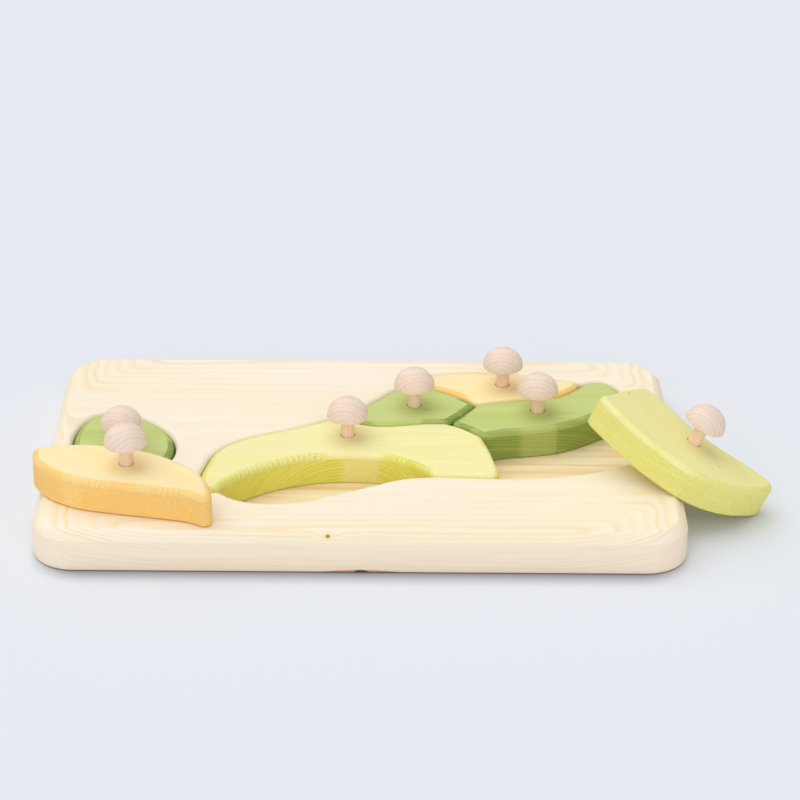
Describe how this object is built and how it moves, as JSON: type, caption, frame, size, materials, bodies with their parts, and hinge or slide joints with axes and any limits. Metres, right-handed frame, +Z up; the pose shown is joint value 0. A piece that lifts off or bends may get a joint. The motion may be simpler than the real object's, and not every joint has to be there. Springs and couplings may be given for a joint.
{
  "type": "wooden knob puzzle",
  "caption": "Wooden knob puzzle: a thick softwood board with a fish-shaped recess, and sawn, stained pieces that lift out by half-ball knobs on dowels.",
  "frame": {"origin": "centre of the board's underside, on the table", "axes": "+X along the board's length, from the bubble to the fish's tail; +Y away from the pictured near edge; +Z up, the way the pieces lift out"},
  "size_m": [0.4324, 0.234, 0.0693],
  "materials": {
    "board_wood": "planed and sanded softwood, oiled, with straight grain along the board",
    "lime_wood": "softwood with a thin lime stain, grain showing",
    "green_wood": "softwood with a thin green stain, grain showing",
    "yellow_wood": "softwood with a thin warm yellow stain, grain showing",
    "knob_wood": "smooth turned beech, unstained"
  },
  "bodies": {
    "board": {"board": "board_wood"},
    "head": {"head_piece": "lime_wood", "head_dowel": "knob_wood", "head_knob": "knob_wood"},
    "back": {"back_piece": "green_wood", "back_dowel": "knob_wood", "back_knob": "knob_wood"},
    "back_fin": {"back_fin_piece": "yellow_wood", "back_fin_dowel": "knob_wood", "back_fin_knob": "knob_wood"},
    "upper_tail": {"upper_tail_piece": "green_wood", "upper_tail_dowel": "knob_wood", "upper_tail_knob": "knob_wood"},
    "lower_tail": {"lower_tail_piece": "lime_wood", "lower_tail_dowel": "knob_wood", "lower_tail_knob": "knob_wood"},
    "belly_fin": {"belly_fin_piece": "yellow_wood", "belly_fin_dowel": "knob_wood", "belly_fin_knob": "knob_wood"},
    "bubble": {"bubble_piece": "green_wood", "bubble_dowel": "knob_wood", "bubble_knob": "knob_wood"}
  },
  "joints": [
    {"name": "head_lift", "type": "slide", "parent": "board", "child": "head", "axis": [0, 0, 1], "range_m": [0, 0.08]},
    {"name": "back_lift", "type": "slide", "parent": "board", "child": "back", "axis": [0, 0, 1], "range_m": [0, 0.08]},
    {"name": "back_fin_lift", "type": "slide", "parent": "board", "child": "back_fin", "axis": [0, 0, 1], "range_m": [0, 0.08]},
    {"name": "upper_tail_lift", "type": "slide", "parent": "board", "child": "upper_tail", "axis": [0, 0, 1], "range_m": [0, 0.08]},
    {"name": "lower_tail_lift", "type": "slide", "parent": "board", "child": "lower_tail", "axis": [0, 0, 1], "range_m": [0, 0.08]},
    {"name": "belly_fin_lift", "type": "slide", "parent": "board", "child": "belly_fin", "axis": [0, 0, 1], "range_m": [0, 0.08]},
    {"name": "bubble_lift", "type": "slide", "parent": "board", "child": "bubble", "axis": [0, 0, 1], "range_m": [0, 0.08]}
  ]
}
